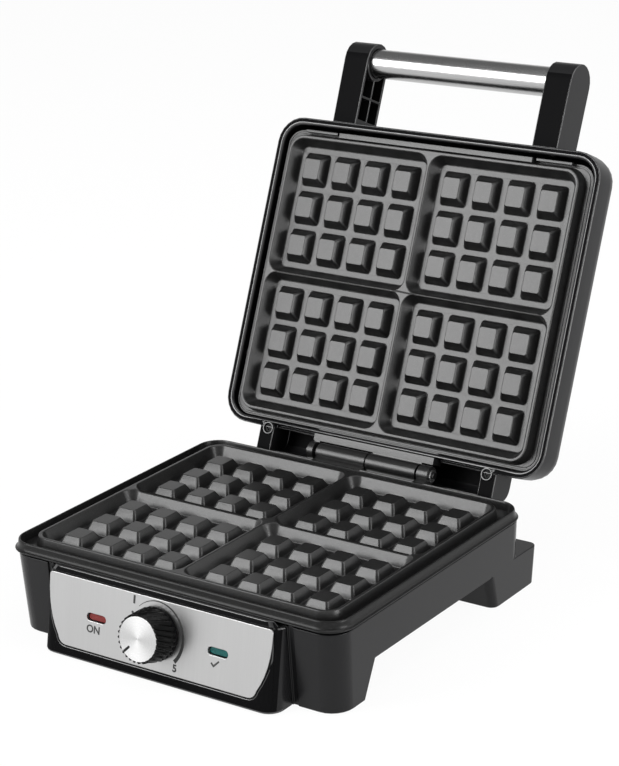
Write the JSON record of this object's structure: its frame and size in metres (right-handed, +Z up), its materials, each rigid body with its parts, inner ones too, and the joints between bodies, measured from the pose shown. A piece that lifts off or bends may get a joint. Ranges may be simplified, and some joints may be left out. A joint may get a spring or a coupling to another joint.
{
  "type": "waffle maker",
  "caption": "Belgian waffle maker with its hinged lid open: ribbed cooking plates, sloped steel control panel with temperature dial and lamps, tube handle between two arms.",
  "frame": {"origin": "centre of the bounding box on the worktop, lid open at its stop", "axes": "+Z up, -Y towards the control panel (front), +X to the right seen from the front; the lid turns about an axis along X"},
  "size_m": [0.2828, 0.4412, 0.355],
  "materials": {
    "coated_cast": "cast aluminium under a charcoal non-stick coating, semi-gloss",
    "black_plastic": "polished black heat-resistant plastic",
    "dark_plastic": "fine-textured black plastic",
    "knob_plastic": "satin black plastic with slanted flutes",
    "pointer_ink": "black inlay",
    "brushed_steel": "fine upright brushing",
    "tube_steel": "fine brushing round the tube",
    "spun_aluminium": "spun face with fine circular lines",
    "zinc_steel": "zinc-plated sheet and screws",
    "black_steel": "blackened steel screws",
    "pin_steel": "ground steel rod",
    "heater_sheath": "heat-darkened steel sheath",
    "foot_rubber": "matt black rubber",
    "red_lens": "clear red plastic",
    "green_lens": "clear blue-green plastic",
    "lamp_glass": "clear neon lamp glass",
    "ceramic": "unglazed white ceramic"
  },
  "bodies": {
    "base": {"lower_plate_screw_front_left": "zinc_steel", "lower_plate_screw_front_right": "zinc_steel", "lower_plate_screw_rear_right": "zinc_steel", "lower_plate_screw_rear_left": "zinc_steel", "hinge_clip_left": "zinc_steel", "hinge_clip_right": "zinc_steel", "lower_plate": "coated_cast", "lower_heater": "heater_sheath", "lower_heat_shield": "zinc_steel", "hinge_pin": "pin_steel", "thermostat_bracket": "zinc_steel", "thermostat": "ceramic", "thermostat_nut": "zinc_steel", "faceplate": "brushed_steel", "lens_red": "red_lens", "lens_green": "green_lens", "lamp_red": "lamp_glass", "lamp_green": "lamp_glass", "base_shell": "black_plastic", "bottom_cover": "dark_plastic", "bottom_screw_front_left": "zinc_steel", "foot_pad_front_left": "foot_rubber", "bottom_screw_front_right": "zinc_steel", "foot_pad_front_right": "foot_rubber", "bottom_screw_rear_right": "zinc_steel", "foot_pad_rear_right": "foot_rubber", "bottom_screw_rear_left": "zinc_steel", "foot_pad_rear_left": "foot_rubber", "control_housing": "black_plastic", "terminal_block": "ceramic", "thermal_fuse": "ceramic", "cord_gland": "dark_plastic"},
    "lid": {"lid_shell": "black_plastic", "upper_plate": "coated_cast", "upper_heater": "heater_sheath", "upper_heat_shield": "zinc_steel", "handle_tube": "tube_steel", "upper_plate_screw_bottom_left": "zinc_steel", "upper_plate_screw_bottom_right": "zinc_steel", "upper_plate_screw_top_right": "zinc_steel", "upper_plate_screw_top_left": "zinc_steel", "hinge_screw_left": "black_steel", "handle_arm_left": "black_plastic", "handle_screw_left": "black_steel", "hinge_screw_right": "black_steel", "handle_arm_right": "black_plastic", "handle_screw_right": "black_steel"},
    "knob": {"knob": "knob_plastic", "knob_cap": "spun_aluminium", "knob_pointer": "pointer_ink", "thermostat_shaft": "pin_steel"}
  },
  "joints": [
    {"name": "lid_hinge", "type": "hinge", "parent": "base", "child": "lid", "pos_m": [0, 0.06338, 0.07035], "axis": [1, 0, 0], "range_deg": [0, 113]},
    {"name": "knob_turn", "type": "hinge", "parent": "base", "child": "knob", "pos_m": [0, -0.19792, 0.03453], "axis": [0, 0.984, -0.1779], "range_deg": [0, 270]}
  ]
}
